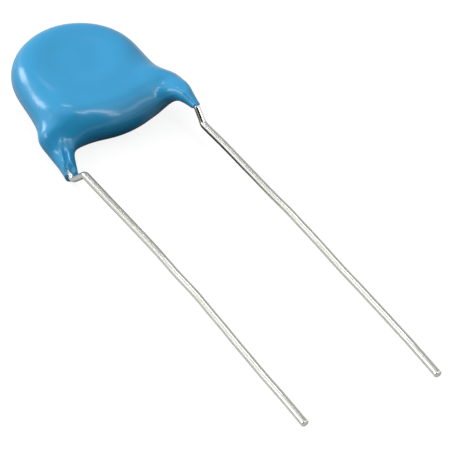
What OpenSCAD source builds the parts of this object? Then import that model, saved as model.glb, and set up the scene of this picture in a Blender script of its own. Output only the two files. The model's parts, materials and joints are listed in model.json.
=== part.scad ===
// Radial-lead ceramic disc capacitor, lying flat with its leads towards -Y.
// A ceramic disc with a silver electrode on each face, a tinned wire soldered to each
// electrode, and a dipped epoxy coating that runs out along both wires.
// X = 0 is midway between the leads, Y = 0 passes through the centre of the disc and
// Z = 0 is the plane that the part lies on.

/* [Ceramic] */
// Diameter of the ceramic disc
ceramic_d = 8.4; // [7.8:0.1:8.6]
// Thickness of the ceramic disc
ceramic_t = 1.7; // [1.2:0.05:1.8]
// Diameter of the silver electrode on each face
electrode_d = 7.6; // [7:0.1:7.7]
// Thickness of each silver electrode
electrode_t = 0.03; // [0.02:0.01:0.06]
// Sideways offset of the disc from the middle of the leads
disc_offset = 0.34; // [-0.4:0.02:0.4]

/* [Leads] */
// Distance between the two leads
pitch = 10; // [9.6:0.1:10.4]
// Diameter of the tinned wire
wire_d = 0.55; // [0.5:0.01:0.62]
// Distance from the disc's centre to the tip of the top lead
top_reach = 38.6; // [30:0.1:45]
// Distance from the disc's centre to the tip of the bottom lead
bottom_reach = 37.6; // [30:0.1:45]
// Distance from the disc's centre to the inner corner of the crimp
crimp_y = 8.6; // [8.4:0.05:9.5]
// Height that each lead comes down between the disc and its crimp
crimp_drop = 0.15; // [0.05:0.01:0.3]
// Slope of the crimp that brings each lead to the middle plane
crimp_angle = 48; // [40:1:60]
// Centre-line radius of the crimp's bends
crimp_bend_r = 0.5; // [0.4:0.05:0.6]
// Distance from the disc's centre to the place where the leads bend down
droop_y = 20.5; // [16:0.1:24]
// Angle by which the leads bend down towards their tips
droop_angle = 3.3; // [1:0.1:4]
// Centre-line radius of that slight bend
droop_bend_r = 20; // [10:1:40]
// Distance from the disc's centre to the corner where a lead turns inwards
turn_y = 5; // [4.6:0.1:5.4]
// Angle by which a lead turns inwards over the disc
turn_angle = 45; // [38:1:50]
// Centre-line radius of the inward turn
turn_bend_r = 1.2; // [0.8:0.1:1.6]
// Length of a lead from its inward turn to its end on the electrode
inner_run = 5.6; // [5:0.1:6]

/* [Solder] */
// Thickness of the solder film under each lead
solder_film = 0.04; // [0.03:0.01:0.08]
// Height of the solder above the electrode
solder_h = 0.42; // [0.3:0.02:0.5]
// Radius of the solder's footprint
solder_r = 1.1; // [0.8:0.05:1.2]
// Distance between the centres of its two domes
solder_run = 1.2; // [0.8:0.1:1.6]
// Distance from the lead's end to the centre of the nearer dome
solder_margin = 0.4; // [0.2:0.05:0.6]

/* [Coating] */
// Diameter of the coated disc
coat_d = 10; // [9.8:0.1:10.6]
// Thickness of the coating over the disc's rim
coat_t = 3.4; // [3.3:0.05:4]
// Depth of the slight dish in each face
dish_depth = 0.15; // [0.05:0.01:0.2]
// Thickness of coating over the wires on the faces
wire_cover = 0.12; // [0.08:0.01:0.25]
// Distance from the disc's centre to the middle of the lobe between the leads
lobe_y = 4.7; // [4.4:0.05:4.9]
// Distance from each lead to the end of the lobe's straight core
lobe_inset = 2.4; // [2:0.05:2.6]
// How fast the lobe bows back towards its ends
lobe_bow = 0.055; // [0.03:0.005:0.08]
// How far the lobe leans out towards the top lead
lobe_lean = 0.065; // [0:0.005:0.1]
// Distance from the disc's centre to the root of each neck
neck_y = 5.1; // [4.8:0.05:5.3]
// Radius of each neck at its root
neck_r = 0.8; // [0.7:0.01:0.95]
// Height of each neck's root, away from the middle plane
neck_rise = 0.12; // [0:0.02:0.3]
// How long each neck follows its wire before it goes down to its root
neck_curve = 4; // [2.5:0.25:5]
// Length of bare wire between the coating on the top lead and the crimp
top_bare = 0.1; // [0.05:0.05:0.6]
// Length of bare wire between the coating on the bottom lead and the crimp
bottom_bare = 0.5; // [0.3:0.05:0.8]
// Thickness of the coating where it ends on the top lead
top_skin = 0.05; // [0.04:0.01:0.12]
// Thickness of the coating where it ends on the bottom lead
bottom_skin = 0.17; // [0.1:0.01:0.2]
// Length of the split over the bottom wire
split_run = 0.9; // [0.5:0.05:1.2]
// Width of the split where it starts
split_start = 0.3; // [0.2:0.02:0.4]
// Width of the split at the end of the coating
split_end = 0.48; // [0.4:0.02:0.54]

/* [Hidden] */
$fn = 64;

wire_r = wire_d / 2;
lead_x = pitch / 2;
face_h = ceramic_t / 2 + electrode_t;               // face of an electrode, from the middle plane
lead_h = face_h + solder_film + wire_r;             // axis of a lead on its electrode
ridge_r = wire_r + wire_cover;                      // coating round a wire on the face
rim_r = coat_t / 2;
core_r = coat_d / 2 - rim_r;
crimp_h = lead_h - crimp_drop;                      // axis of a lead where its crimp starts
crimp_run = crimp_h / tan(crimp_angle);
lowest_run = 0.7 * inner_run;                       // from a lead's turn to its lowest cover

// ---- Wires: straight stretches and round bends along a list of corners ----

bend_swell = 0.01;                                  // a formed bend is a hair thicker
bend_lap = 0.06;                                    // and the straight wire runs this far into it

function unit(v) = v / norm(v);

// Setback of a bend of radius r between directions a and b
function setback(a, b, r) = r * tan(acos(a * b) / 2);

// A rigid frame with columns x, y, z at the point p
function rigid(x, y, z, p) = [[x.x, y.x, z.x, p.x], [x.y, y.y, z.y, p.y], [x.z, y.z, z.z, p.z]];

// A frame at p whose Z axis is the unit vector d
function along(d, p) =
    let (x = unit(cross(abs(d.z) < 0.9 ? [0, 0, 1] : [1, 0, 0], d))) rigid(x, cross(d, x), d, p);

module stretch(p, q) {
    multmatrix(along(unit(q - p), p)) cylinder(h = norm(q - p), r = wire_r);
}

module bend(corner, a, b, r) {
    m = unit(b - (b * a) * a);
    start = corner - a * setback(a, b, r);
    multmatrix(rigid(-m, a, cross(-m, a), start + m * r))
        rotate_extrude(angle = acos(a * b)) translate([r, 0]) circle(r = wire_r + bend_swell);
}

// Round wire through the points p, with a bend of radius r[i] at each inner corner
module wire(p, r) {
    n = len(p);
    d = [for (i = [0:n - 2]) unit(p[i + 1] - p[i])];
    t = [for (i = [0:n - 1]) i == 0 || i == n - 1 ? 0 : setback(d[i - 1], d[i], r[i]) - bend_lap];
    for (i = [0:n - 2]) stretch(p[i] + d[i] * t[i], p[i + 1] - d[i] * t[i + 1]);
    for (i = [1:n - 2]) bend(p[i], d[i - 1], d[i], r[i]);
}

// Corners of a lead from its tip to its end on the electrode. side is 1 for the top lead,
// at +X, and -1 for the bottom lead, at -X.
function turn_corner(side) = [side * lead_x, -turn_y, side * lead_h];
function inward(side) = [-side * sin(turn_angle), cos(turn_angle), 0];
function inner_end(side) = turn_corner(side) + inner_run * inward(side);
function lead_corners(side, reach) =
    let (x = side * lead_x)
    [[x, -reach, -(reach - droop_y) * tan(droop_angle)],
     [x, -droop_y, 0],
     [x, -crimp_y - crimp_run, 0],
     [x, -crimp_y, side * crimp_h],
     turn_corner(side),
     inner_end(side)];

module lead(side, reach) {
    translate([0, 0, mid_z])
        wire(lead_corners(side, reach),
             [0, droop_bend_r, crimp_bend_r, crimp_bend_r, turn_bend_r, 0]);
}

module top_lead() { color("silver") lead(1, top_reach); }

module bottom_lead() { color("silver") lead(-1, bottom_reach); }

// ---- Ceramic, electrodes and solder ----

// Upright disc centred on the capacitor, between two heights from the middle plane
module plate(d, low, high) {
    translate([disc_offset, 0, mid_z + low]) cylinder(h = high - low, d = d);
}

module ceramic_disc() {
    color("tan") plate(ceramic_d, -ceramic_t / 2, ceramic_t / 2);
}

module top_electrode() {
    color("gainsboro") plate(electrode_d, ceramic_t / 2, face_h);
}

module bottom_electrode() {
    color("gainsboro") plate(electrode_d, -face_h, -ceramic_t / 2);
}

// Solder without its wire: two shallow domes that run into each other along the lead.
// root is how far they reach below the face of the electrode.
module solder_mound(side, root = 0) {
    ball_r = (pow(solder_r, 2) + pow(solder_h, 2)) / (2 * solder_h);
    for (run = [solder_margin, solder_margin + solder_run])
        translate(inner_end(side) - inward(side) * run + [0, 0, mid_z - side * lead_h])
            mirror([0, 0, side > 0 ? 0 : 1])
                translate([0, 0, face_h])
                    intersection() {
                        translate([0, 0, solder_h - ball_r]) sphere(r = ball_r);
                        translate([0, 0, -root]) cylinder(h = solder_h + root + 1, r = solder_r);
                    }
}

module top_solder() {
    color("darkgray") difference() {
        solder_mound(1);
        lead(1, top_reach);
    }
}

module bottom_solder() {
    color("darkgray") difference() {
        solder_mound(-1);
        lead(-1, bottom_reach);
    }
}

// ---- Coating: a smooth closed surface, found along rays from inside it ----

// Smooth steps and smooth unions of distances, with k as the width of the blend
function ease(t) = let (u = min(max(t, 0), 1)) u * u * (3 - 2 * u);
function blend(a, b, k) = min(a, b) - pow(max(k - abs(a - b), 0), 2) / (4 * k);

// Height of a lead's axis at a distance y from the disc's centre, from its turn to its crimp
function lead_rise(y) = lead_h - crimp_drop * (y - turn_y) / (crimp_y - turn_y);

// Distance from p to the segment a-b, less a radius that goes from ra to rb
function rod(p, a, b, ra, rb) =
    let (d = b - a, t = min(max((p - a) * d / (d * d), 0), 1))
    norm(p - a - t * d) - ra - t * (rb - ra);

lobe_half = lead_x - lobe_inset;
lobe_blend = 3.15;
neck_blend = 2.6;
ridge_blend = 0.4;
dish_edge = 0.2;                                    // from the core's edge to the dish
dish_width = 1.6;                                   // from the dish's edge to its floor
top_coat_y = crimp_y - top_bare;                    // from the disc's centre to the coating's ends
bottom_coat_y = crimp_y - bottom_bare;

// Plan of the middle of the coating: a circle round the disc joined to the lobe
function core(x, y) =
    blend(norm([x - disc_offset, y]) - core_r,
          norm([max(abs(x) - lobe_half, 0), y + lobe_y + lobe_lean * x - lobe_bow * x * x]),
          lobe_blend);

// Body: the core grown by the rim's radius, with a dished face
function body(p) =
    let (c = core(p.x, p.y))
    c > 0 ? norm([c, p.z]) - rim_r
          : abs(p.z) - rim_r + dish_depth * ease((-c - dish_edge) / dish_width);

// Where the coating ends on a wire, and its radius there
function coat_end(side) =
    let (y = side > 0 ? top_coat_y : bottom_coat_y) [side * lead_x, -y, side * lead_rise(y)];
function end_r(side) = wire_r + (side > 0 ? top_skin : bottom_skin);

// Neck: from its root beside the lobe to the bare wire, thinner all the way
function neck(p, side) =
    let (end = coat_end(side),
         y = min(max(p.y, end.y), -neck_y),
         v = (y - end.y) / (-neck_y - end.y),
         z = end.z - (end.z - side * neck_rise) * ease(pow(v, neck_curve)))
    norm([p.x - end.x, p.y - y, p.z - z]) - end_r(side) - (neck_r - end_r(side)) * ease(v);

// Ridge: the coating that stands over the wire, from its end on the disc to the bare wire
function ridge(p, side) =
    blend(rod(p, turn_corner(side), inner_end(side), ridge_r, ridge_r),
          rod(p, turn_corner(side), coat_end(side), ridge_r, end_r(side)),
          ridge_blend);

function coat(p) =
    blend(blend(body(p), min(neck(p, 1), neck(p, -1)), neck_blend),
          min(ridge(p, 1), ridge(p, -1)), ridge_blend);

// Distance along the unit vector d, from o inside the coating to its surface, within b
function reach(o, d, a, b, n = 8) =
    let (m = (a + b) / 2)
    n > 0 ? (coat(o + m * d) > 0 ? reach(o, d, a, m, n - 1) : reach(o, d, m, b, n - 1))
          : let (fa = coat(o + a * d), fb = coat(o + b * d)) a + (b - a) * fa / (fa - fb);

// The part lies on the coating under the bottom lead, which puts its middle plane at mid_z.
lowest = turn_corner(-1) + lowest_run * inward(-1);
mid_z = lead_h + reach(lowest, [0, 0, -1], 0, coat_t);

// The surface is cut by upright half-planes that fan out from a pivot between the leads.
fan_gap = 0.35;
fan_y = -top_coat_y - fan_gap;
hub = 7;                                            // from the pivot to well inside the body
climb_y = 3.6;                                      // where the rays' start leaves the middle plane
climb_run = 3;                                      // and how far on it has reached the wires
fan_steps = 88;
fan_start = atan(fan_gap / lead_x);
fan_end = 180 - atan((-bottom_coat_y - fan_y) / lead_x);

// Directions of the rays round a section, from the middle of its top
face_rays = 8;
cap_rays = 10;
face_tilt = 30;
ray_angles = concat(
    [for (j = [0:2 * face_rays - 1]) 90 - face_tilt + (j + 0.5) * face_tilt / face_rays],
    [for (j = [0:cap_rays - 1]) 90 + face_tilt + (j + 0.5) * 2 * (90 - face_tilt) / cap_rays],
    [for (j = [0:2 * face_rays - 1]) 270 - face_tilt + (j + 0.5) * face_tilt / face_rays],
    [for (j = [0:cap_rays - 1]) 270 + face_tilt + (j + 0.5) * 2 * (90 - face_tilt) / cap_rays]);

function section(a) =
    let (u = [cos(a), sin(a), 0],
         s = min(lead_x / max(abs(u.x), 0.01), hub),
         y = fan_y + s * u.y,
         h = sign(u.x) * lead_rise(-y) * ease((-y - climb_y) / climb_run),
         o = [0, fan_y, h],
         near = s - reach(o + s * u, -u, 0, s),
         far = s + reach(o + s * u, u, 0, coat_d),
         cap = min((far - near) / 2, 0.95 * rim_r),
         half = (far - near) / 2 - cap)
    [for (t = ray_angles)
        let (c = o + ((far + near) / 2 + half * min(max(cos(t) / sin(face_tilt), -1), 1)) * u,
             d = [u.x * cos(t), u.y * cos(t), sin(t)])
        c + reach(c, d, 0, 2 * rim_r) * d];

module coating_blank() {
    rings = [for (i = [0:fan_steps]) section(fan_start + (fan_end - fan_start) * i / fan_steps)];
    n = len(ray_angles);
    points = [for (ring = rings) each ring];
    sides = [for (i = [0:fan_steps - 1], j = [0:n - 1])
        let (a = i * n + j, b = i * n + (j + 1) % n)
        each [[a, b, b + n], [a, b + n, a + n]]];
    // Each end closes on a point inside its wire.
    first = [for (j = [0:n - 1]) [(j + 1) % n, j, len(points)]];
    last = [for (j = [0:n - 1]) let (b = fan_steps * n) [b + j, b + (j + 1) % n, len(points) + 1]];
    tips = [for (side = [1, -1]) coat_end(side) - [0, wire_r, 0]];
    translate([0, 0, mid_z]) polyhedron(concat(points, tips), concat(sides, first, last));
}

// Split over the bottom wire, where the coating has parted: narrow at its start and open
// towards the crimp
module split() {
    start_y = -bottom_coat_y + split_run;
    translate([-lead_x, 0, mid_z - lead_rise(bottom_coat_y)]) linear_extrude(height = lead_h) {
        translate([0, start_y]) circle(d = split_start);
        polygon([[-split_start / 2, start_y], [split_start / 2, start_y],
                 [split_end / 2, -crimp_y], [-split_end / 2, -crimp_y]]);
    }
}

module epoxy_coating() {
    color([0.29, 0.64, 0.84]) difference() {
        coating_blank();
        split();
        plate(ceramic_d, -ceramic_t / 2, ceramic_t / 2);
        plate(electrode_d, -face_h, face_h);
        for (side = [1, -1]) solder_mound(side, electrode_t + ceramic_t / 4);
        lead(1, top_reach);
        lead(-1, bottom_reach);
    }
}

ceramic_disc();
top_electrode();
bottom_electrode();
top_solder();
bottom_solder();
top_lead();
bottom_lead();
epoxy_coating();
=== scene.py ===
"""Dresses a radial-lead ceramic disc capacitor and lights it on a plain pale floor.

The packed solids fix where everything is. This file adds what they leave out: the smooth dipped coating with
its necks, its square end on one lead and its split end on the other, the drawn and tinned wires with their
slight sway and their cut tips, and a finish for each surface. Lengths are in metres.
"""

import json
import math

import bpy
import numpy as np
from bpy.props import FloatProperty, FloatVectorProperty, IntProperty, PointerProperty
from bpy.types import Operator, Panel, PropertyGroup
from mathutils import Matrix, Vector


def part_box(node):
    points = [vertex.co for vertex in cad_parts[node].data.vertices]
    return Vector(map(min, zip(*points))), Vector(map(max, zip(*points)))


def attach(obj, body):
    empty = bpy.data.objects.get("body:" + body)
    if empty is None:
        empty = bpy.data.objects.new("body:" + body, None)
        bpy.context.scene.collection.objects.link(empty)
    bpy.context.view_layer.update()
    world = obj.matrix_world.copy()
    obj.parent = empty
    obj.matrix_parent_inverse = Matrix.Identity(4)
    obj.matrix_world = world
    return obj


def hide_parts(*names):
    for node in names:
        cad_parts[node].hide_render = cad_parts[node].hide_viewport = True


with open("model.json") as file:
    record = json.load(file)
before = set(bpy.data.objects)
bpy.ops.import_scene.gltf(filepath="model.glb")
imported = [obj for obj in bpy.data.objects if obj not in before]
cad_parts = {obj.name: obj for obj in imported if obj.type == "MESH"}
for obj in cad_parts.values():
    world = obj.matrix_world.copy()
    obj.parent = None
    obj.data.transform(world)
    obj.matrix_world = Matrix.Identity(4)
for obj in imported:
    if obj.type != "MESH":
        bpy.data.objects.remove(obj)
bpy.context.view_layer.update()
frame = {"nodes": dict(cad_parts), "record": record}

bl_info = {
    "name": "Disc Capacitor Dresser",
    "version": (1, 0, 0),
    "blender": (4, 5, 0),
    "location": "3D View > Sidebar > Capacitor",
    "description": "Coats, wires and lights a radial-lead ceramic disc capacitor",
    "category": "Object",
}

MM = 0.001
X, Y, Z = np.eye(3)
TOP, BOTTOM = 1, -1  # the lead on the upper face, at +X, and the lead on the lower face, at -X
PAIR_INDEX = {TOP: 0, BOTTOM: 1}  # which of a pair of sizes belongs to a lead
LEAD_NODES = {TOP: "top_lead", BOTTOM: "bottom_lead"}

mounts = {mount["name"]: mount for mount in frame["record"]["mounts"]}
LEAD_X = mounts["lead_pitch"]["dims"]["pcd_mm"] * MM / 2
WIRE_R = mounts["lead_pitch"]["dims"]["stud_r_mm"] * MM
SOLDER_FILM = 0.04 * MM

ceramic_low, ceramic_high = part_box("ceramic_disc")
MID_Z = (ceramic_low.z + ceramic_high.z) / 2
DISC_X = (ceramic_low.x + ceramic_high.x) / 2
FACE_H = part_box("top_electrode")[1].z - MID_Z
LEAD_H = FACE_H + SOLDER_FILM + WIRE_R  # axis of a lead on its electrode, from the middle plane


# ---- Sizes and colours that a user would change ----

def length(name, description, millimetres):
    """A length property, given in millimetres."""
    value = millimetres * MM
    return FloatProperty(name=name, description=description, default=value, unit="LENGTH", precision=5)


def lengths(name, description, *millimetres):
    """Lengths in one property, given in millimetres: mostly the top lead's and the bottom lead's."""
    value = [each * MM for each in millimetres]
    return FloatVectorProperty(
        name=name, description=description, default=value, size=len(value), unit="LENGTH", precision=5
    )


def angle(name, description, degrees):
    """An angle property, given in degrees."""
    value = math.radians(degrees)
    return FloatProperty(name=name, description=description, default=value, unit="ROTATION")


def colour(name, description, value):
    """A colour property, given as linear red, green and blue."""
    return FloatVectorProperty(
        name=name, description=description, default=value, subtype="COLOR", min=0, max=1
    )


def share(name, description, value, top=1.0):
    """A plain number from 0 to top."""
    return FloatProperty(name=name, description=description, default=value, min=0, max=top)


def numbers(name, description, top, bottom):
    """A plain number for the top lead and one for the bottom lead."""
    return FloatVectorProperty(name=name, description=description, default=(top, bottom), size=2)


def count(name, description, value, least):
    """A whole number that is least or more."""
    return IntProperty(name=name, description=description, default=value, min=least)


class CoatingSizes(PropertyGroup):
    """Sizes of the dipped coating."""
    disc_d: length("Disc", "Diameter of the coated disc", 10)
    thickness: length("Thickness", "Thickness of the coating over the disc's rim", 3.4)
    dish_depth: length("Dish", "Depth of the slight dish in each face", 0.12)
    dish_edge: length("Dish edge", "From the core's edge to the edge of the dish", 0.2)
    dish_width: length("Dish width", "From the edge of the dish to its floor", 1.6)
    inset: length("Inset", "How far the coating stays inside its packed solid", 0.01)
    wire_cover: length("Wire cover", "Thickness of coating over a wire where it turns inwards", 0.07)
    ridge_end: length("Ridge end", "Radius of the ridge over a wire at the wire's end on the disc", 0.15)
    ridge_blend: length("Ridge blend", "How softly the covered wires rise from the faces", 0.35)
    flat_blend: length("Flat blend", "Rounding where the coating is flat at its top and bottom", 0.08)
    lobe_y: length("Lobe", "From the disc's centre to the middle of the lobe between the leads", 4.863)
    lobe_inset: lengths("Lobe inset", "From each lead to the end of the lobe's straight core", 1.836, 2.376)
    lobe_bow: length("Lobe bow", "How far the lobe bows back at each lead", 1.875)
    lobe_lean: length("Lobe lean", "How far the lobe leans out at the top lead", 0.56)
    lobe_blend: length("Lobe blend", "How softly the lobe joins the disc", 2.456)
    slope_drop: length("Slope", "How far the upper face comes down towards the bottom neck", 0.721)
    slope_y: length("Slope start", "From the disc's centre to where that slope starts", 5.215)
    slope_run: length("Slope run", "Length of that slope", 2.926)
    slope_turn: angle("Slope turn", "Direction of that slope, from -X towards -Y", 17.1)
    end_round: length("End round", "Rounding of the coating's edges at its ends", 0.03)
    split_y: length("Split", "From the disc's centre to where the split over the bottom wire starts", 7.42)
    split_lean: share("Split lean", "How far the start of the split leans back above the wire", 0.9, 4)
    split_start: length("Split start", "Width of the split where it starts", 0.56)
    split_end: length("Split end", "Width of the split at the end of the coating", 0.72)
    split_blend: length("Split blend", "Rounding of the split's edges", 0.06)
    lip: length("Lip", "Height of the lips along the split", 0.03)
    fold: length("Fold", "Depth of the fold that runs down the bottom neck to the split", 0.2)
    fold_width: length("Fold width", "Half the width of that fold", 0.2)
    fold_head: lengths("Fold head", "Start of the fold, in from the lead and out from the disc", 0.5, 5.75)
    ripple: length("Ripple", "Depth of the slow ripple that dipping leaves in the coating", 0.012)
    smooth_y: length("Smooth from", "From the disc's centre to where smoothing of the coating starts", 7.4)
    smooth_run: length("Smooth run", "From there to where the smoothing is full", 0.9)
    smoothing: count("Smoothing", "Rounds of smoothing of the coating", 60, 0)
    rings: count("Rings", "Sections of the coating between its ends", 210, 40)
    end_rings: count("End rings", "Sections in each end of the coating", 110, 10)
    spokes: count("Spokes", "Points round each section", 220, 40)


class NeckSizes(PropertyGroup):
    """Sizes of the necks that run out along the top lead and the bottom lead."""
    root_y: lengths("Root", "From the disc's centre to the root of a neck", 5.247, 4.77)
    root_r: lengths("Root radius", "Radius of a neck at its root", 0.95, 0.7)
    root_rise: lengths("Root rise", "Height of a neck's root, away from the middle plane", 0.473, 0.433)
    thin_y: lengths("Thin", "From the disc's centre to where a neck is thinnest", 8.46, 8.1)
    thin_r: lengths("Thin radius", "Radius of a neck where it is thinnest", 0.26, 0.4)
    curve: numbers("Curve", "How long a neck follows its wire before it goes down to its root", 1.942, 4.785)
    taper: numbers("Taper", "How soon a neck grows thick", 0.569, 0.293)
    swell: lengths("Swell", "How far the middle of a neck bulges away from the middle plane", 0.15, -0.22)
    shift: lengths("Shift", "How far the middle of a neck stands to +X of its wire", -0.1, 0.29)
    blend: lengths("Blend", "How softly a neck joins the lobe", 2.103, 3.05)
    end_y: lengths("End", "From the disc's centre to the end of the coating on a wire", 8.55, 7.93)
    end_slant: numbers("End slant", "Slope of the coating's end across the wire", 0, 0.28)
    end_lap: numbers("End lap", "Slope of the coating's end, from over the wire to under it", 0.6, 0)


class WireSizes(PropertyGroup):
    """Sizes of the tinned wires."""
    crimp_y: lengths("Crimp", "From the disc's centre to the inner corner of the crimp", 8.6, 8.22)
    crimp_drop: lengths("Crimp drop", "How far the inner corner lies towards the middle plane", 0.15, -0.105)
    crimp_out: lengths("Crimp out", "How far the inner corner stands outside the lead's line", 0, 0.21)
    foot_y: lengths("Crimp foot", "From the disc's centre to the outer corner of the crimp", 9.54, 9.48)
    crimp_r: length("Crimp radius", "Centre-line radius of the crimp's bends", 0.5)
    droop_y: length("Droop", "From the disc's centre to where the leads bend down", 20.5)
    droop_angle: angle("Droop angle", "Angle by which the leads bend down", 3.3)
    droop_r: length("Droop radius", "Centre-line radius of that slight bend", 20)
    turn_y: length("Turn", "From the disc's centre to where a lead turns inwards", 5)
    turn_angle: angle("Turn angle", "Angle by which a lead turns inwards over the disc", 45)
    turn_r: length("Turn radius", "Centre-line radius of the inward turn", 1.2)
    inner_run: length("Inner run", "Length of a lead from its turn to its end on the electrode", 5.6)
    curl_run: length("Curl", "Length of the tip that the cutters bent a little further", 3)
    curl_angle: angle("Curl angle", "Angle of that further bend", 2.2)
    curl_r: length("Curl radius", "Centre-line radius of that further bend", 30)
    pinch_run: length("Pinch", "Length of the tip that the cutters pinched", 0.4)
    pinch: share("Pinch depth", "Share by which the cut tip is flatter and wider than the wire", 0.08)
    tip_bevel: length("Tip bevel", "Rounding of the edge of the cut", 0.05)
    sway_run: length("Sway run", "Length of a lead, from its crimp's foot, over which it sways", 29)
    sway_top: lengths(
        "Sway, top", "How far the top lead strays to +X at equal steps down to its tip",
        0.05, 0.03, 0.01, 0.06, 0.09, 0.08, 0.13, 0.16, 0.17, 0.18,
    )
    sway_bottom: lengths(
        "Sway, bottom", "How far the bottom lead strays to +X at equal steps down to its tip",
        0.02, 0.05, 0.07, 0.03, 0.12, 0.07, 0.01, -0.03, 0, 0.02,
    )
    squeeze_y: length("Squeeze", "From the disc's centre to where the crimping tool squeezed the wire", 7.9)
    squeeze_run: length("Squeeze run", "Length of the squeezed wire", 1.7)
    squeeze_wide: share("Squeeze across", "Share by which the squeezed wire is narrower", 0.2)
    squeeze_tall: share("Squeeze over", "Share by which the squeezed wire is lower", 0.12)
    ring_step: length("Ring step", "Distance between the rings of a wire's mesh", 0.1)
    ring_points: count("Ring points", "Points round a wire", 48, 12)


class Finishes(PropertyGroup):
    """Colours and gloss of the surfaces."""
    epoxy: colour("Epoxy", "Colour of the coating", (0.032, 0.345, 0.64))
    epoxy_deep: colour("Epoxy, deep", "Colour of the coating where pigment is denser", (0.025, 0.3, 0.587))
    epoxy_gloss: share("Epoxy roughness", "Roughness of the coating", 0.2)
    tin: colour("Tin", "Colour of the tinned wire", (0.78, 0.78, 0.725))
    tin_dull: colour("Tin, dull", "Colour of the wire where the tin has dulled", (0.56, 0.55, 0.51))
    tin_gloss: share("Tin roughness", "Roughness of the bright tin", 0.14)
    ceramic: colour("Ceramic", "Colour of the ceramic disc", (0.34, 0.185, 0.105))
    silver: colour("Silver", "Colour of the fired silver electrodes", (0.80, 0.79, 0.76))
    solder: colour("Solder", "Colour of the solder", (0.50, 0.51, 0.52))


class StageSettings(PropertyGroup):
    """Camera, floor and light."""
    camera_turn: angle("Camera turn", "Direction of the camera round the part, from the leads' side", -33)
    camera_rise: angle("Camera rise", "Height of the camera above the horizon", 42.9)
    camera_distance: length("Camera distance", "From the disc's centre to the camera", 286.44)
    aim_right: length("Aim right", "How far the camera stands to the right of the disc's centre", 10.64)
    aim_up: length("Aim up", "How far the camera stands above the disc's centre in its own view", -10.955)
    focal: FloatProperty(name="Focal length", description="Focal length on a 36 mm sensor", default=313.9)
    front: share("Front strip", "Level of the strip light in front", 11, 40)
    low: share("Low light", "Level of the low softbox on the right in front", 1.6, 40)
    side: share("Side light", "Level of the softbox behind on the left", 7, 40)
    edge: share("Edge light", "Level of the softbox on the left", 4.5, 40)
    back: share("Back light", "Level of the small light behind", 5, 40)
    fill: share("Fill", "Level of the light from all round, where it is weakest", 0.02, 4)
    overhead: share("Overhead", "Level of the light from all round, overhead and behind", 1.1, 4)
    floor_bounce: share("Floor bounce", "How much light the floor sends back up", 0.04)
    floor_sheen: share("Floor in metal", "Level of the floor as metal mirrors it", 0.62)
    # Painted shade: gloss sees a dark patch of floor in front of the disc, standing in for the shade that
    # falls there
    floor_painted_shade: share("Shaded floor", "Level of the shaded patch of floor as gloss mirrors it", 0.03)
    floor_shadow: share("Floor shadow", "Depth of the shadows on the floor", 0.17)
    # Where that patch of painted shade lies, and how far out it fades to the plain floor
    patch_x: length("Patch across", "How far to +X the middle of the shaded patch of floor lies", -0.5)
    patch_y: length("Patch out", "From the disc's centre to the middle of the shaded patch of floor", 11)
    patch_core: length("Patch core", "Radius within which the patch is shaded in full", 4.2)
    patch_edge: length("Patch edge", "Radius beyond which the floor isn't shaded", 6.4)
    room_spread: angle("Dark room", "How wide the dark room in front is, as gloss mirrors it", 92)
    room_level: share("Room level", "Level of that room", 0.02)
    wall_spread: angle("Wall", "How wide the grey wall behind is, as gloss mirrors it", 84)
    wall_level: share("Wall level", "Level of that wall", 0.5)


SETTINGS = {
    "capacitor_coating": CoatingSizes,
    "capacitor_necks": NeckSizes,
    "capacitor_wires": WireSizes,
    "capacitor_finishes": Finishes,
    "capacitor_stage": StageSettings,
}


# ---- Shapes ----

def unit(v):
    """The unit vector along v."""
    return v / np.linalg.norm(v)


def ease(t):
    """Smooth step from 0 to 1."""
    u = np.clip(t, 0, 1)
    return u * u * (3 - 2 * u)


def blend(a, b, width):
    """Smooth union of two distances."""
    return np.minimum(a, b) - np.maximum(width - np.abs(a - b), 0) ** 2 / (4 * width)


def carve(a, b, width):
    """The shape a with the shape b cut out of it, with a rounded edge."""
    return -blend(-a, b, width)


def rod(p, start, end, start_r, end_r):
    """Distance from the points p to a rod whose radius goes from start_r to end_r."""
    start, end = np.array(start), np.array(end)
    along = end - start
    t = np.clip((p - start) @ along / (along @ along), 0, 1)
    return np.linalg.norm(p - start - t[..., None] * along, axis=-1) - start_r - t * (end_r - start_r)


def lead_route(wires, side):
    """Corners of a lead and the radius of the bend at each, from its tip to its end on the electrode."""
    of = PAIR_INDEX[side]
    node = LEAD_NODES[side]
    steep = wires.droop_angle + wires.curl_angle
    reach = -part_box(node)[0].y - WIRE_R * math.sin(steep)
    x, h = side * LEAD_X, side * LEAD_H
    curl_y = reach - wires.curl_run
    curl_z = -(curl_y - wires.droop_y) * math.tan(wires.droop_angle)
    inward = np.array([-side * math.sin(wires.turn_angle), math.cos(wires.turn_angle), 0])
    turn = np.array([x, -wires.turn_y, h])
    corners = [
        (x, -reach, curl_z - wires.curl_run * math.tan(steep)),
        (x, -curl_y, curl_z),
        (x, -wires.droop_y, 0),
        (x, -wires.foot_y[of], 0),
        (x + side * wires.crimp_out[of], -wires.crimp_y[of], h - side * wires.crimp_drop[of]),
        turn,
        turn + wires.inner_run * inward,
    ]
    radii = [0, wires.curl_r, wires.droop_r, wires.crimp_r, wires.crimp_r, wires.turn_r, 0]
    return [np.array(corner, float) for corner in corners], radii


# Waves of the coating's ripple: radians per millimetre along X, Y and Z, and where each wave starts
RIPPLE_WAVES = (
    ((1.9, 0.7, 0), 0.4),
    ((-0.9, 2.3, 1.1), 1.3),
    ((1.4, -1.6, 1.7), 2.6),
)


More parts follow.
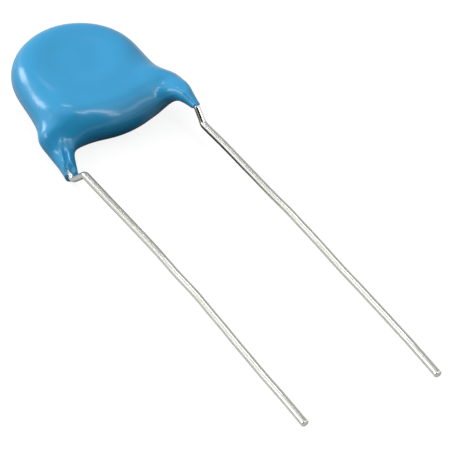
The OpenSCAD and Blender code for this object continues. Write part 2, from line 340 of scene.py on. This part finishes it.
class CoatingShape:
    """Distance to the coating's surface, at points measured from the middle plane."""

    def __init__(self, sizes, necks, wires):
        self.sizes = sizes
        self.necks = necks
        self.rim_r = sizes.thickness / 2
        self.core_r = sizes.disc_d / 2 - self.rim_r
        self.ridge_r = WIRE_R + sizes.wire_cover
        low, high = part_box("epoxy_coating")
        self.low, self.high = low.z + sizes.inset, high.z - sizes.inset
        self.turn_setback = wires.turn_r * math.tan(wires.turn_angle / 2)
        self.routes = {side: lead_route(wires, side)[0][-4:] for side in (TOP, BOTTOM)}
        self.paths = {
            side: rounded_path(route[:3], [0, wires.crimp_r, 0], wires.ring_step)
            for side, route in self.routes.items()
        }

    def axis(self, y, side):
        """Where the axis of a wire lies, in x and z, from the foot of its crimp to its turn."""
        path = self.paths[side]
        return np.interp(y, path[:, 1], path[:, 0]), np.interp(y, path[:, 1], path[:, 2])

    def core(self, x, y):
        """Plan of the middle of the coating: a circle round the disc joined to the lobe."""
        s = self.sizes
        disc = np.hypot(x - DISC_X, y) - self.core_r
        middle = y + s.lobe_y + s.lobe_lean * x / LEAD_X - s.lobe_bow * (x / LEAD_X) ** 2
        inset = np.where(x > 0, *s.lobe_inset)
        lobe = np.hypot(np.maximum(np.abs(x) - LEAD_X + inset, 0), middle)
        return blend(disc, lobe, s.lobe_blend)

    def body(self, p):
        """The core grown by the rim's radius, with dished faces, the upper of which slopes down to a neck."""
        s = self.sizes
        x, y, z = np.moveaxis(p, -1, 0)
        out = (DISC_X - x) * math.cos(s.slope_turn) - y * math.sin(s.slope_turn)
        upper = ease(z / MM)  # the slope grows to its full drop over the first millimetre
        z = z + s.slope_drop * ease((out - s.slope_y) / s.slope_run) * upper
        edge = self.core(x, y)
        dish = s.dish_depth * ease((-edge - s.dish_edge) / s.dish_width)
        return np.where(edge > 0, np.hypot(edge, z) - self.rim_r, np.abs(z) - self.rim_r + dish)

    def neck(self, p, side):
        """From beside the lobe to the bare wire, thinner all the way."""
        n, of = self.necks, PAIR_INDEX[side]
        y = np.minimum(p[..., 1], -n.root_y[of])
        v = np.clip((y + n.thin_y[of]) / (n.thin_y[of] - n.root_y[of]), 0, 1)
        hump = 4 * v * (1 - v)
        down = ease(v ** n.curve[of])
        x, z = self.axis(y, side)
        x = x + (side * LEAD_X - x) * down + n.shift[of] * hump
        z = z + (side * n.root_rise[of] - z) * down + side * n.swell[of] * hump
        radius = n.thin_r[of] + (n.root_r[of] - n.thin_r[of]) * ease(v) ** n.taper[of]
        return np.linalg.norm(p - np.stack([x, y, z], -1), axis=-1) - radius

    def ridge(self, p, side):
        """The coating that stands over the wire, from its end on the disc to the bare wire."""
        n, of = self.necks, PAIR_INDEX[side]
        _, _, turn, inner_end = self.routes[side]
        x, z = self.axis(-n.thin_y[of], side)
        bend = turn - self.turn_setback * Y, turn + self.turn_setback * unit(inner_end - turn)
        return np.min([
            rod(p, bend[0], (x, -n.thin_y[of], z), self.ridge_r, n.thin_r[of]),
            rod(p, bend[0], bend[1], self.ridge_r, self.ridge_r),
            rod(p, bend[1], inner_end, self.ridge_r, self.sizes.ridge_end),
        ], axis=0)

    def split(self, p):
        """The split over the bottom wire: round where it starts and open at the coating's end."""
        s = self.sizes
        x, z = self.axis(p[..., 1], BOTTOM)
        above = np.maximum(p[..., 2] - z - WIRE_R, 0)
        start = -s.split_y - s.split_start / 2 + s.split_lean * above
        open_run = self.necks.end_y[1] - s.split_y
        half = s.split_start / 2 + (s.split_end - s.split_start) / 2 * ease((start - p[..., 1]) / open_run)
        return np.hypot(p[..., 0] - x, np.maximum(p[..., 1] - start, 0)) - half, z - p[..., 2]

    def fold(self, p):
        """Depth of the fold that leads down the inner side of the bottom neck to the split."""
        s = self.sizes
        brims = 1.4  # how much the coating stands up beside the fold
        deepening = 0.3  # share of the fold's length over which it deepens
        head = np.array([s.fold_head[0] - LEAD_X, -s.fold_head[1]])
        foot = np.array([self.axis(-s.split_y, BOTTOM)[0], -s.split_y])
        along = foot - head
        t = np.clip((p[..., :2] - head) @ along / (along @ along), 0, 1)
        aside = np.linalg.norm(p[..., :2] - head - t[..., None] * along, axis=-1)
        above = ease((p[..., 2] + LEAD_H) / WIRE_R)
        across = (aside / s.fold_width) ** 2
        return s.fold * (1 - brims * across) * np.exp(-across) * ease(t / deepening) * above

    def ends(self, p):
        """Beyond the coating's ends on the two wires."""
        cuts = []
        reach = 2 * WIRE_R
        for side in (TOP, BOTTOM):
            n, of = self.necks, PAIR_INDEX[side]
            x, z = self.axis(p[..., 1], side)
            across = np.clip(p[..., 0] - x, -reach, reach)
            over = np.clip(p[..., 2] - z, -reach, reach)
            cuts.append(p[..., 1] + n.end_y[of] + n.end_slant[of] * across + n.end_lap[of] * over)
        return np.where(p[..., 0] > 0, *cuts)

    def ripple(self, p):
        """Slow ripple of a dipped coating, from the inset to its full depth below that."""
        waves = sum(np.sin((p / MM) @ np.array(rates) + start) for rates, start in RIPPLE_WAVES)
        return self.sizes.inset + self.sizes.ripple * (0.5 + waves / (2 * len(RIPPLE_WAVES)))

    def wire_core(self, p):
        """A thin rod hidden in each wire, which holds the sections together where the coating is open."""
        hidden_r = 0.6 * WIRE_R
        rods = []
        for foot, crimp, turn, _ in self.routes.values():
            rods.append(rod(p, foot, crimp, hidden_r, hidden_r))
            rods.append(rod(p, crimp, turn, hidden_r, hidden_r))
        return np.min(rods, axis=0)

    def __call__(self, p):
        """Distance from the points p to the surface, negative inside the coating."""
        s = self.sizes
        coat = self.body(p)
        for side, soft in zip((TOP, BOTTOM), self.necks.blend):
            coat = blend(coat, self.neck(p, side), soft)
        ridges = np.minimum(self.ridge(p, TOP), self.ridge(p, BOTTOM))
        coat = blend(coat, ridges, s.ridge_blend) + self.ripple(p)
        height = p[..., 2] + MID_Z
        coat = carve(coat, np.minimum(height - self.low, self.high - height), s.flat_blend)
        beside, below = self.split(p)
        half = s.split_start / 2
        lips = s.lip * np.exp(-((beside / half) ** 2)) * ease(-below / WIRE_R)
        coat = coat - lips + self.fold(p)
        coat = carve(coat, np.maximum(beside, below), s.split_blend)
        coat = carve(coat, self.ends(p), s.end_round)
        return np.minimum(coat, self.wire_core(p))


def surface_distance(shape, start, way, near, far, steps=16):
    """How far from start along each way the surface lies, by halving the stretch between near and far."""
    near = np.broadcast_to(near, start.shape[:-1]).astype(float).copy()
    far = np.broadcast_to(far, start.shape[:-1]).astype(float).copy()
    for _ in range(steps):
        middle = (near + far) / 2
        inside = shape(start + middle[..., None] * way) < 0
        near = np.where(inside, middle, near)
        far = np.where(inside, far, middle)
    return (near + far) / 2


def fan_of_planes(shape, sizes):
    """The upright planes that cut the coating: y of their pivot between the leads, and each one's way out."""
    top_end, bottom_end = shape.necks.end_y
    gap = 0.38 * MM  # from the coating's end on the top lead out to the pivot
    past_end = 0.3 * MM  # from each end of the coating out to its first or last ring
    end_zone = math.radians(17)  # turn of the planes over which the rings of an end lie close together
    pivot_y = -top_end - gap
    start = math.atan((gap - past_end) / LEAD_X)
    stop = math.pi - math.atan((-bottom_end - past_end - pivot_y) / LEAD_X)
    turns = np.concatenate([
        np.linspace(start, start + end_zone, sizes.end_rings, endpoint=False),
        np.linspace(start + end_zone, stop - end_zone, sizes.rings, endpoint=False),
        np.linspace(stop - end_zone, stop, sizes.end_rings + 1),
    ])
    return pivot_y, np.stack([np.cos(turns), np.sin(turns), np.zeros_like(turns)], -1)


def ring_seeds(shape, pivot_y, out):
    """Where each plane leaves the pivot, and how far out it reaches a wire's axis or the body's inside."""
    hub = 7 * MM  # from the pivot to well inside the body
    upright = 1e-3  # keeps the plane that stands almost along Y from dividing by nothing
    level_y = 3.6 * MM  # the seeds lie in the middle plane up to here
    rise_run = 3 * MM  # and rise to the wires' axes over this much more
    reach_x = np.full(len(out), LEAD_X)
    for _ in range(4):  # each round brings the seeds nearer to the wires' axes
        run = np.minimum(reach_x / np.maximum(np.abs(out[:, 0]), upright), hub)
        y = pivot_y + run * out[:, 1]
        axes = [shape.axis(y, side) for side in (TOP, BOTTOM)]
        wire_x, wire_z = np.where(out[:, 0] > 0, axes[0], axes[1])
        reach_x = np.abs(wire_x)
    h = wire_z * ease((-y - level_y) / rise_run)
    return np.stack([np.zeros_like(y), np.full_like(y, pivot_y), h], -1), run


def ray_turns(spokes, tilt):
    """Turns of a ring's rays, of which those to the faces lean up to tilt from upright."""
    face_share = 0.34  # of the spokes, to each face
    face = round(face_share * spokes)
    edge = spokes // 2 - face
    half_round = np.concatenate([
        math.pi / 2 - tilt + (np.arange(face) + 0.5) * 2 * tilt / face,
        math.pi / 2 + tilt + (np.arange(edge) + 0.5) * (math.pi - 2 * tilt) / edge,
    ])
    return np.concatenate([half_round, half_round + math.pi])


def coating_rings(shape, sizes):
    """Rings of points where upright planes, fanned out from a pivot between the leads, cut the coating."""
    pivot_y, out = fan_of_planes(shape, sizes)
    origin, run = ring_seeds(shape, pivot_y, out)
    seed = origin + run[:, None] * out
    near = run - surface_distance(shape, seed, -out, 0, run)
    far = run + surface_distance(shape, seed, out, 0, sizes.disc_d)
    cap_share = 0.95  # of the rim's radius: how far inside an end its rays fan out
    cap = np.minimum((far - near) / 2, cap_share * shape.rim_r)
    half = (far - near) / 2 - cap

    tilt = math.radians(30)  # rays that lean less than this slide along the faces
    rays = ray_turns(sizes.spokes, tilt)
    slide = np.clip(np.cos(rays) / math.sin(tilt), -1, 1)
    centre = origin[:, None] + ((far + near)[:, None] / 2 + half[:, None] * slide)[..., None] * out[:, None]
    ray = np.cos(rays)[None, :, None] * out[:, None] + np.sin(rays)[None, :, None] * Z
    rings = centre + surface_distance(shape, centre, ray, 0, 2 * shape.rim_r)[..., None] * ray
    return smoothed(rings[:, ::-1], sizes)


def smoothed(rings, sizes):
    """The rings with the creases of the body smoothed at their size, and the ends of the necks left sharp."""
    once = averaged(rings, sizes)
    return 2 * once - averaged(once, sizes)


def averaged(rings, sizes):
    """The rings with each point of the body drawn towards its neighbours, over and over."""
    pull = 0.25  # of the way to the middle of a point's neighbours in each round
    pulls = pull * ease((rings[..., 1:2] + sizes.smooth_y) / sizes.smooth_run)
    for _ in range(sizes.smoothing):
        along = (rings[:-2] + rings[2:]) / 2 - rings[1:-1]
        around = (np.roll(rings, 1, 1) + np.roll(rings, -1, 1)) / 2 - rings
        rings = rings + pulls * around
        rings[1:-1] += pulls[1:-1] * along
    return rings


def rounded_path(corners, radii, step):
    """Points a step or less apart along straight stretches and round bends."""
    fewest = 6  # pieces in a bend
    points = [corners[0]]
    for before, corner, after, radius in zip(corners, corners[1:], corners[2:], radii[1:]):
        a, b = unit(corner - before), unit(after - corner)
        turn = math.acos(np.clip(a @ b, -1, 1))
        setback = radius * math.tan(turn / 2)
        centre = corner + unit(b - a) * radius / math.cos(turn / 2)
        start = corner - a * setback
        points += straight(points[-1], start, step)
        spoke = start - centre
        pieces = max(fewest, math.ceil(radius * turn / step))
        for i in range(1, pieces + 1):
            t = turn * i / pieces
            points.append(centre + spoke * math.cos(t) + a * radius * math.sin(t))
    return np.array(points + straight(points[-1], corners[-1], step))


def straight(start, end, step):
    """Points after start, up to and with end."""
    pieces = max(1, math.ceil(np.linalg.norm(end - start) / step))
    return [start + (end - start) * i / pieces for i in range(1, pieces + 1)]


def carried_frames(path):
    """Two directions square to the path at each point, carried along it without twist."""
    tangent = np.gradient(path, axis=0)
    tangent /= np.linalg.norm(tangent, axis=1)[:, None]
    side = X - (X @ tangent[0]) * tangent[0]
    sides = []
    for t in tangent:
        side = unit(side - (side @ t) * t)
        sides.append(side)
    sides = np.array(sides)
    return sides, np.cross(tangent, sides), tangent


def tube_faces(rings, points):
    """Quads between the rings of a tube that is open at both ends."""
    i, j = np.meshgrid(np.arange(rings - 1), np.arange(points), indexing="ij")
    a, b = i * points + j, i * points + (j + 1) % points
    return np.stack([a, b, b + points, a + points], -1).reshape(-1, 4).tolist()


def put_in_scene(thing, axes=(X, Y, Z), place=(0, 0, 0)):
    """Adds an object at a place, with its own X, Y and Z along the given axes."""
    rows = [[*row, p] for row, p in zip(np.stack(axes, 1), place)]
    thing.matrix_world = Matrix([*rows, [0, 0, 0, 1]])
    bpy.context.scene.collection.objects.link(thing)


def closed_tube(name, rings, first, last):
    """A mesh object through rings of points, closed on one point at each end."""
    count, points = rings.shape[:2]
    vertices = np.concatenate([rings.reshape(-1, 3), [first, last]])
    faces = tube_faces(count, points)
    start, end = (count - 1) * points, count * points
    faces += [[(j + 1) % points, j, end] for j in range(points)]
    faces += [[start + j, start + (j + 1) % points, end + 1] for j in range(points)]
    mesh = bpy.data.meshes.new(name)
    mesh.from_pydata(vertices.tolist(), [], faces)
    mesh.validate()
    mesh.shade_smooth()
    piece = bpy.data.objects.new(name, mesh)
    put_in_scene(piece)
    return piece


def dress(piece, node, material):
    """Puts a new piece in the place of a CAD node."""
    piece.data.materials.append(material)
    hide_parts(node)
    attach(piece, "root")


# ---- Materials ----

# Sockets of a Mix node that mixes colours: its sockets for other types have the same names
MIX_FACTOR, MIX_FIRST, MIX_SECOND, MIX_RESULT = 0, 6, 7, 2
WHITE = (1, 1, 1, 1)


class Shade:
    """A socket in a node tree. Sums, differences and products of it add Math nodes."""

    def __init__(self, tree, socket=None):
        self.tree = tree
        self.socket = socket

    def node(self, kind, settings=None, inputs=None, output=0):
        """Adds a node: its settings first, then the values or links of its sockets."""
        made = self.tree.nodes.new(kind)
        for name, value in (settings or {}).items():
            if name == "stops":
                self.set_stops(made.color_ramp, value)
            else:
                setattr(made, name, value)
        for name, value in (inputs or {}).items():
            if isinstance(value, Shade):
                self.tree.links.new(value.socket, made.inputs[name])
            else:
                made.inputs[name].default_value = value
        return Shade(self.tree, made.outputs[output])

    @staticmethod
    def set_stops(ramp, stops):
        """Gives a ramp its stops, as pairs of a place and a grey level."""
        for place, level in stops[2:]:
            ramp.elements.new(place)
        for element, (place, level) in zip(ramp.elements, stops):
            element.position = place
            element.color = (level, level, level, 1)

    def maths(self, operation, *values):
        """What a Math node makes of the values."""
        return self.node("ShaderNodeMath", {"operation": operation}, dict(enumerate(values)))

    def mix(self, first, second):
        """A colour from first to second, with this socket as the factor."""
        sockets = {MIX_FACTOR: self, MIX_FIRST: first, MIX_SECOND: second}
        return self.node("ShaderNodeMix", {"data_type": "RGBA"}, sockets, output=MIX_RESULT)

    def __add__(self, other):
        return self.maths("ADD", self, other)

    def __radd__(self, other):
        return self.maths("ADD", other, self)

    def __sub__(self, other):
        return self.maths("SUBTRACT", self, other)

    def __rsub__(self, other):
        return self.maths("SUBTRACT", other, self)

    def __mul__(self, other):
        return self.maths("MULTIPLY", self, other)

    def __rmul__(self, other):
        return self.maths("MULTIPLY", other, self)


def rgba(value, factor=1):
    """A colour with full alpha, made lighter or darker by a factor."""
    return (*(min(1, factor * part) for part in value), 1)


def emptied_tree(owner):
    """The node tree of a material or a world, with nothing in it."""
    owner.use_nodes = True
    owner.node_tree.nodes.clear()
    return Shade(owner.node_tree)


def new_material(name):
    """A material and its empty node tree."""
    material = bpy.data.materials.new(name)
    return material, emptied_tree(material)


def place_mm(tree, stretch=(1, 1, 1)):
    """Places on the object in millimetres, stretched along each axis."""
    place = tree.node("ShaderNodeTexCoord", output="Object")
    scale = tuple(s / MM for s in stretch)
    return tree.node("ShaderNodeVectorMath", {"operation": "MULTIPLY"}, {0: place, 1: scale})


def noise(tree, place, scale, detail, roughness=0.5):
    """Soft noise around a half."""
    inputs = {"Vector": place, "Scale": scale, "Detail": detail, "Roughness": roughness}
    return tree.node("ShaderNodeTexNoise", {"noise_dimensions": "3D"}, inputs)


def bump(tree, height, depth):
    """A normal from a height, with the depth in metres."""
    return tree.node("ShaderNodeBump", None, {"Strength": 1.0, "Distance": depth, "Height": height})


def join_output(tree, kind, shader):
    """Joins a shader to the tree's output node."""
    out = tree.tree.nodes.new(kind)
    tree.tree.links.new(shader.socket, out.inputs["Surface"])


def finished(material, tree, sockets):
    """The material with a Principled shader that has these values and links."""
    shader = tree.node("ShaderNodeBsdfPrincipled", None, sockets)
    join_output(tree, "ShaderNodeOutputMaterial", shader)
    return material


def epoxy_material(finish):
    """Semi-gloss dipped epoxy, a little denser here and there, with a faint orange peel."""
    material, tree = new_material("dipped_epoxy")
    place = place_mm(tree)
    dense = noise(tree, place, scale=0.5, detail=3)
    speck = noise(tree, place, scale=9, detail=2)
    peel = noise(tree, place, scale=2.6, detail=3, roughness=0.45)
    return finished(material, tree, {
        "Base Color": (dense * 0.8 + speck * 0.2).mix(rgba(finish.epoxy), rgba(finish.epoxy_deep)),
        "Roughness": finish.epoxy_gloss + (speck - 0.5) * 0.06 + (dense - 0.5) * 0.05,
        "IOR": 1.5,
        "Normal": bump(tree, peel + speck * 0.12, depth=0.006 * MM),
    })


def tin_material(finish):
    """Bright tinned wire: fine draw lines along it, with duller patches."""
    material, tree = new_material("tinned_wire")
    drawn = (22, 0.5, 22)  # fine across the wires and long along them
    lines = noise(tree, place_mm(tree, drawn), scale=1, detail=3, roughness=0.6)
    patches = noise(tree, place_mm(tree), scale=1.3, detail=3, roughness=0.6)
    grain = noise(tree, place_mm(tree), scale=16, detail=2, roughness=0.6)
    worn = patches * 0.7 + grain * 0.3
    dull = tree.node("ShaderNodeValToRGB", {"stops": [(0.42, 0), (0.75, 1)]}, {"Fac": worn})
    return finished(material, tree, {
        "Base Color": (dull * 0.6).mix(rgba(finish.tin), rgba(finish.tin_dull)),
        "Metallic": 1.0,
        "Roughness": finish.tin_gloss + dull * 0.16 + (lines - 0.5) * 0.12,
        "Normal": bump(tree, lines * 0.7 + grain * 0.3, depth=0.0015 * MM),
    })


def ceramic_material(finish):
    """Matt sintered titanate, mottled and finely pitted."""
    material, tree = new_material("sintered_ceramic")
    place = place_mm(tree)
    mottle = noise(tree, place, scale=1.1, detail=4, roughness=0.6)
    pits = noise(tree, place, scale=11, detail=3, roughness=0.65)
    light = rgba(finish.ceramic, 1.25)
    return finished(material, tree, {
        "Base Color": (mottle * 0.6 + pits * 0.4).mix(rgba(finish.ceramic), light),
        "Roughness": 0.62 + (pits - 0.5) * 0.2,
        "Normal": bump(tree, pits, depth=0.01 * MM),
    })


def silver_material(finish):
    """Fired silver film with the faint weave of its printing screen."""
    material, tree = new_material("fired_silver")
    grain = noise(tree, place_mm(tree), scale=14, detail=3, roughness=0.6)
    bands = {"wave_type": "BANDS", "bands_direction": "X"}
    threads = {"Vector": place_mm(tree), "Scale": 2.2, "Distortion": 0.6}
    screen = tree.node("ShaderNodeTexWave", bands, threads, output="Fac")
    dark = rgba(finish.silver, 0.8)
    return finished(material, tree, {
        "Base Color": (grain * 0.6 + screen * 0.2).mix(rgba(finish.silver), dark),
        "Metallic": 1.0,
        "Roughness": 0.42 + (grain - 0.5) * 0.2,
        "Normal": bump(tree, screen * 0.5 + grain * 0.5, depth=0.003 * MM),
    })


def solder_material(finish):
    """Satin solder, smooth with frosted patches."""
    material, tree = new_material("solder")
    frost = noise(tree, place_mm(tree), scale=3.2, detail=4, roughness=0.6)
    bright = rgba(finish.solder, 1.25)
    return finished(material, tree, {
        "Base Color": frost.mix(rgba(finish.solder), bright),
        "Metallic": 1.0,
        "Roughness": 0.24 + frost * 0.2,
        "Normal": bump(tree, frost, depth=0.01 * MM),
    })


# ---- Stage ----

def direction(turn, rise):
    """The unit vector that points a turn round from -Y and a rise above the horizon."""
    return np.array([math.sin(turn) * math.cos(rise), -math.cos(turn) * math.cos(rise), math.sin(rise)])


def soft_step(tree, value, low, high):
    """0 where the value is below low, 1 where it is above high, with a soft step between."""
    inputs = {"Value": value, "From Min": low, "From Max": high}
    return tree.node("ShaderNodeMapRange", {"interpolation_type": "SMOOTHSTEP"}, inputs)


def cone(tree, turn, rise, edge, soft):
    """1 for rays of the world that point nearly along a turn and a rise in degrees, and 0 for the others.

    The cosine of their angle is edge - soft where the soft edge starts, and edge + soft where it ends.
    """
    aim = direction(math.radians(turn), math.radians(rise))
    ways = {0: tree.node("ShaderNodeTexCoord", output="Generated"), 1: tuple(aim)}
    cosine = tree.node("ShaderNodeVectorMath", {"operation": "DOT_PRODUCT"}, ways, output="Value")
    return soft_step(tree, cosine, edge - soft, edge + soft)


def ray_is(tree, kind):
    """1 for a ray of this kind."""
    return tree.node("ShaderNodeLightPath", output=f"Is {kind} Ray")


def seen_directly(tree):
    """1 for what the camera sees directly or through glass."""
    return tree.maths("MAXIMUM", ray_is(tree, "Camera"), ray_is(tree, "Transmission"))


def mix_shaders(factor, first, second):
    """A shader from first to second."""
    return factor.node("ShaderNodeMixShader", None, {0: factor, 1: first, 2: second})


def floor_material(stage):
    """A pale floor: white where the camera sees it, apart from the shadows, and grey in metal, but for a
    patch of painted shade that gloss sees in front of the disc.
    """
    material, tree = new_material("pale_floor")
    levels = (stage.floor_bounce, stage.floor_painted_shade, stage.floor_sheen, stage.floor_shadow)
    bounce, shade, sheen, shadow = (
        tree.node("ShaderNodeBsdfDiffuse", None, {"Color": rgba([level] * 3)}) for level in levels
    )
    # Painted shade: in gloss the floor is dark in a patch in front of the disc and grey beyond it
    span = {0: tree.node("ShaderNodeTexCoord", output="Object"), 1: (stage.patch_x, -stage.patch_y, 0)}
    away = tree.node("ShaderNodeVectorMath", {"operation": "DISTANCE"}, span, output="Value")
    mirrored = mix_shaders(soft_step(tree, away, stage.patch_core, stage.patch_edge), shade, sheen)
    white = 1.03  # level of the open floor, its own glow and the lamps' light together
    lit = 0.9  # level of a white floor under the lamps alone
    glow = {"Color": WHITE, "Strength": white - lit * stage.floor_shadow}
    lift = tree.node("ShaderNodeEmission", None, glow)
    seen = tree.node("ShaderNodeAddShader", None, {0: shadow, 1: lift})
    unseen = mix_shaders(ray_is(tree, "Glossy"), bounce, mirrored)
    shader = mix_shaders(seen_directly(tree), unseen, seen)
    join_output(tree, "ShaderNodeOutputMaterial", shader)
    return material


def set_world(stage):
    """A plain studio: white where it is seen, and lighter overhead than in front as it lights the part.

    Gloss mirrors a white studio with a grey wall behind and a dark room in front.
    """
    world = bpy.data.worlds.new("studio")
    tree = emptied_tree(world)
    levels = (stage.fill, stage.overhead, stage.room_level, stage.wall_level, 1.0)
    low, high, dark, grey, white = (
        tree.node("ShaderNodeBackground", None, {"Color": WHITE, "Strength": level}) for level in levels
    )
    room = cone(tree, turn=-45, rise=28, edge=math.cos(stage.room_spread / 2), soft=0.08)
    wall = cone(tree, turn=148, rise=34, edge=math.cos(stage.wall_spread / 2), soft=0.06)
    overhead = cone(tree, turn=-158, rise=48, edge=0.5, soft=0.5)
    light = mix_shaders(overhead, low, high)
    mirrored = mix_shaders(room, mix_shaders(wall, white, grey), dark)
    unseen = mix_shaders(ray_is(tree, "Glossy"), light, mirrored)
    shader = mix_shaders(seen_directly(tree), unseen, white)
    join_output(tree, "ShaderNodeOutputWorld", shader)
    bpy.context.scene.world = world


def add_camera(stage):
    """The camera, which looks past the disc's centre so that the whole part is framed."""
    back = direction(stage.camera_turn, stage.camera_rise)
    right = np.array([math.cos(stage.camera_turn), math.sin(stage.camera_turn), 0])
    up = np.cross(back, right)
    centre = np.array([DISC_X, 0, MID_Z])
    place = centre + right * stage.aim_right + up * stage.aim_up + back * stage.camera_distance
    lens = bpy.data.cameras.new("camera")
    lens.sensor_width = 36
    lens.lens = stage.focal
    lens.clip_start = 10 * MM
    camera = bpy.data.objects.new("camera", lens)
    put_in_scene(camera, (right, up, back), place)
    bpy.context.scene.camera = camera


def add_softbox(name, turn, rise, wide, tall, level):
    """A softbox that spans the given degrees as the part sees it, at the level at which a mirror shows it."""
    away = 0.5  # metres
    lamp = bpy.data.lights.new(name, "AREA")
    lamp.shape = "RECTANGLE"
    lamp.size, lamp.size_y = (2 * away * math.tan(math.radians(span) / 2) for span in (wide, tall))
    lamp.energy = level * math.pi * lamp.size * lamp.size_y
    back = direction(math.radians(turn), math.radians(rise))
    right = unit(np.cross(Z, back))
    put_in_scene(bpy.data.objects.new(name, lamp), (right, np.cross(back, right), back), away * back)


def add_floor(stage):
    """A plain floor under the part."""
    half = 1.5  # half the floor's side, in metres
    corners = [(-half, -half, 0), (half, -half, 0), (half, half, 0), (-half, half, 0)]
    mesh = bpy.data.meshes.new("floor")
    mesh.from_pydata(corners, [], [(0, 1, 2, 3)])
    mesh.materials.append(floor_material(stage))
    floor = bpy.data.objects.new("floor", mesh)
    put_in_scene(floor)


# ---- Operators ----

class CAPACITOR_OT_add_coating(Operator):
    """Replace the packed coating with the smooth dipped one"""
    bl_idname = "capacitor.add_coating"
    bl_label = "Add Coating"

    def execute(self, context):
        sizes = context.scene.capacitor_coating
        shape = CoatingShape(sizes, context.scene.capacitor_necks, context.scene.capacitor_wires)
        rings = coating_rings(shape, sizes)
        lift = MID_Z * Z
        ends = [rings[0].mean(0) + lift, rings[-1].mean(0) + lift]
        coating = closed_tube("coating", rings + lift, *ends)
        dress(coating, "epoxy_coating", epoxy_material(context.scene.capacitor_finishes))
        return {"FINISHED"}


class CAPACITOR_OT_add_wires(Operator):
    """Replace the two packed leads with drawn, tinned wires"""
    bl_idname = "capacitor.add_wires"
    bl_label = "Add Wires"

    def execute(self, context):
        wires = context.scene.capacitor_wires
        material = tin_material(context.scene.capacitor_finishes)
        for side, node in LEAD_NODES.items():
            corners, radii = lead_route(wires, side)
            path = rounded_path(corners, radii, wires.ring_step)
            strays = wires.sway_top if side == TOP else wires.sway_bottom
            path = path + self.sway(path[:, 1], strays, wires)[:, None] * X
            wire = self.wire(node.replace("lead", "wire"), path + MID_Z * Z, wires)
            dress(wire, node, material)
        return {"FINISHED"}

    @staticmethod
    def sway(y, strays, wires):
        """How far a lead stands to +X of its straight line, which it strays from in equal steps."""
        run = np.clip((-y - wires.foot_y[0]) / wires.sway_run, 0, 1) * len(strays)
        step = np.minimum(run.astype(int), len(strays) - 1)
        values = np.array([0, *strays])
        return values[step] + (values[step + 1] - values[step]) * ease(run - step)

    @staticmethod
    def wire(name, path, wires):
        """A round wire along the path, squeezed at its crimp and pinched where it was cut."""
        across, over, along = carried_frames(path)
        run = np.concatenate([[0], np.cumsum(np.linalg.norm(np.diff(path, axis=0), axis=1))])
        pinched = wires.pinch * (1 - ease(run / wires.pinch_run))
        turn = 2 * math.pi * np.arange(wires.ring_points) / wires.ring_points
        past = -path[:, 1] - wires.squeeze_y
        fade = 0.4 * MM  # run over which the squeeze starts and ends
        squeezed = ease(past / fade) * ease((wires.squeeze_run - past) / fade)
        wide = WIRE_R * (1 + pinched - wires.squeeze_wide * squeezed)[:, None] * np.cos(turn)
        tall = WIRE_R * (1 - pinched - wires.squeeze_tall * squeezed)[:, None] * np.sin(turn)
        rings = path[:, None] + wide[..., None] * across[:, None] + tall[..., None] * over[:, None]
        lip = path[0] + (rings[0] - path[0]) * (1 - wires.tip_bevel / WIRE_R)
        rings[0] += wires.tip_bevel * along[0]
        rings = np.concatenate([[lip], rings])
        dip = 0.3 * wires.tip_bevel  # how deep the middle of the cut lies
        return closed_tube(name, rings, path[0] + dip * along[0], path[-1])


class CAPACITOR_OT_finish_inner_parts(Operator):
    """Give the ceramic, the electrodes and the solder their finishes"""
    bl_idname = "capacitor.finish_inner_parts"
    bl_label = "Finish Inner Parts"

    def execute(self, context):
        finish = context.scene.capacitor_finishes
        silver, solder = silver_material(finish), solder_material(finish)
        materials = {
            "ceramic_disc": ceramic_material(finish),
            "top_electrode": silver,
            "bottom_electrode": silver,
            "top_solder": solder,
            "bottom_solder": solder,
        }
        for node, material in materials.items():
            piece = frame["nodes"][node]
            piece.data.materials.clear()
            piece.data.materials.append(material)
        return {"FINISHED"}


class CAPACITOR_OT_set_stage(Operator):
    """Add the camera, the floor and the light"""
    bl_idname = "capacitor.set_stage"
    bl_label = "Set Stage"

    def execute(self, context):
        stage = context.scene.capacitor_stage
        add_camera(stage)
        add_floor(stage)
        set_world(stage)
        add_softbox("front_strip", turn=10, rise=54, wide=3.6, tall=58, level=stage.front)
        add_softbox("low_box", turn=36, rise=30, wide=26, tall=14, level=stage.low)
        add_softbox("side_box", turn=-153, rise=22, wide=20, tall=22, level=stage.side)
        add_softbox("edge_box", turn=-102, rise=34, wide=32, tall=15, level=stage.edge)
        add_softbox("back_box", turn=166, rise=60, wide=11, tall=11, level=stage.back)
        context.scene.view_settings.view_transform = "Standard"
        return {"FINISHED"}


class CAPACITOR_PT_dresser(Panel):
    """Sizes, colours and steps of the capacitor"""
    bl_label = "Disc Capacitor"
    bl_idname = "CAPACITOR_PT_dresser"
    bl_space_type = "VIEW_3D"
    bl_region_type = "UI"
    bl_category = "Capacitor"

    def draw(self, context):
        column = self.layout.column(align=True)
        for step in STEPS:
            column.operator(step.bl_idname)
        for name, group in SETTINGS.items():
            box = self.layout.box()
            box.label(text=group.__doc__.rstrip("."))
            for prop in group.__annotations__:
                box.prop(getattr(context.scene, name), prop)


STEPS = (
    CAPACITOR_OT_set_stage,
    CAPACITOR_OT_add_coating,
    CAPACITOR_OT_add_wires,
    CAPACITOR_OT_finish_inner_parts,
)
CLASSES = (*SETTINGS.values(), *STEPS, CAPACITOR_PT_dresser)


def register():
    """Adds the settings, the operators and the panel to Blender."""
    for cls in CLASSES:
        bpy.utils.register_class(cls)
    for name, group in SETTINGS.items():
        setattr(bpy.types.Scene, name, PointerProperty(type=group))


def unregister():
    """Takes them out again."""
    for name in SETTINGS:
        delattr(bpy.types.Scene, name)
    for cls in reversed(CLASSES):
        bpy.utils.unregister_class(cls)


def main():
    """Makes the whole model."""
    register()
    bpy.ops.capacitor.set_stage()
    bpy.ops.capacitor.add_coating()
    bpy.ops.capacitor.add_wires()
    bpy.ops.capacitor.finish_inner_parts()


if __name__ == "__main__":
    main()
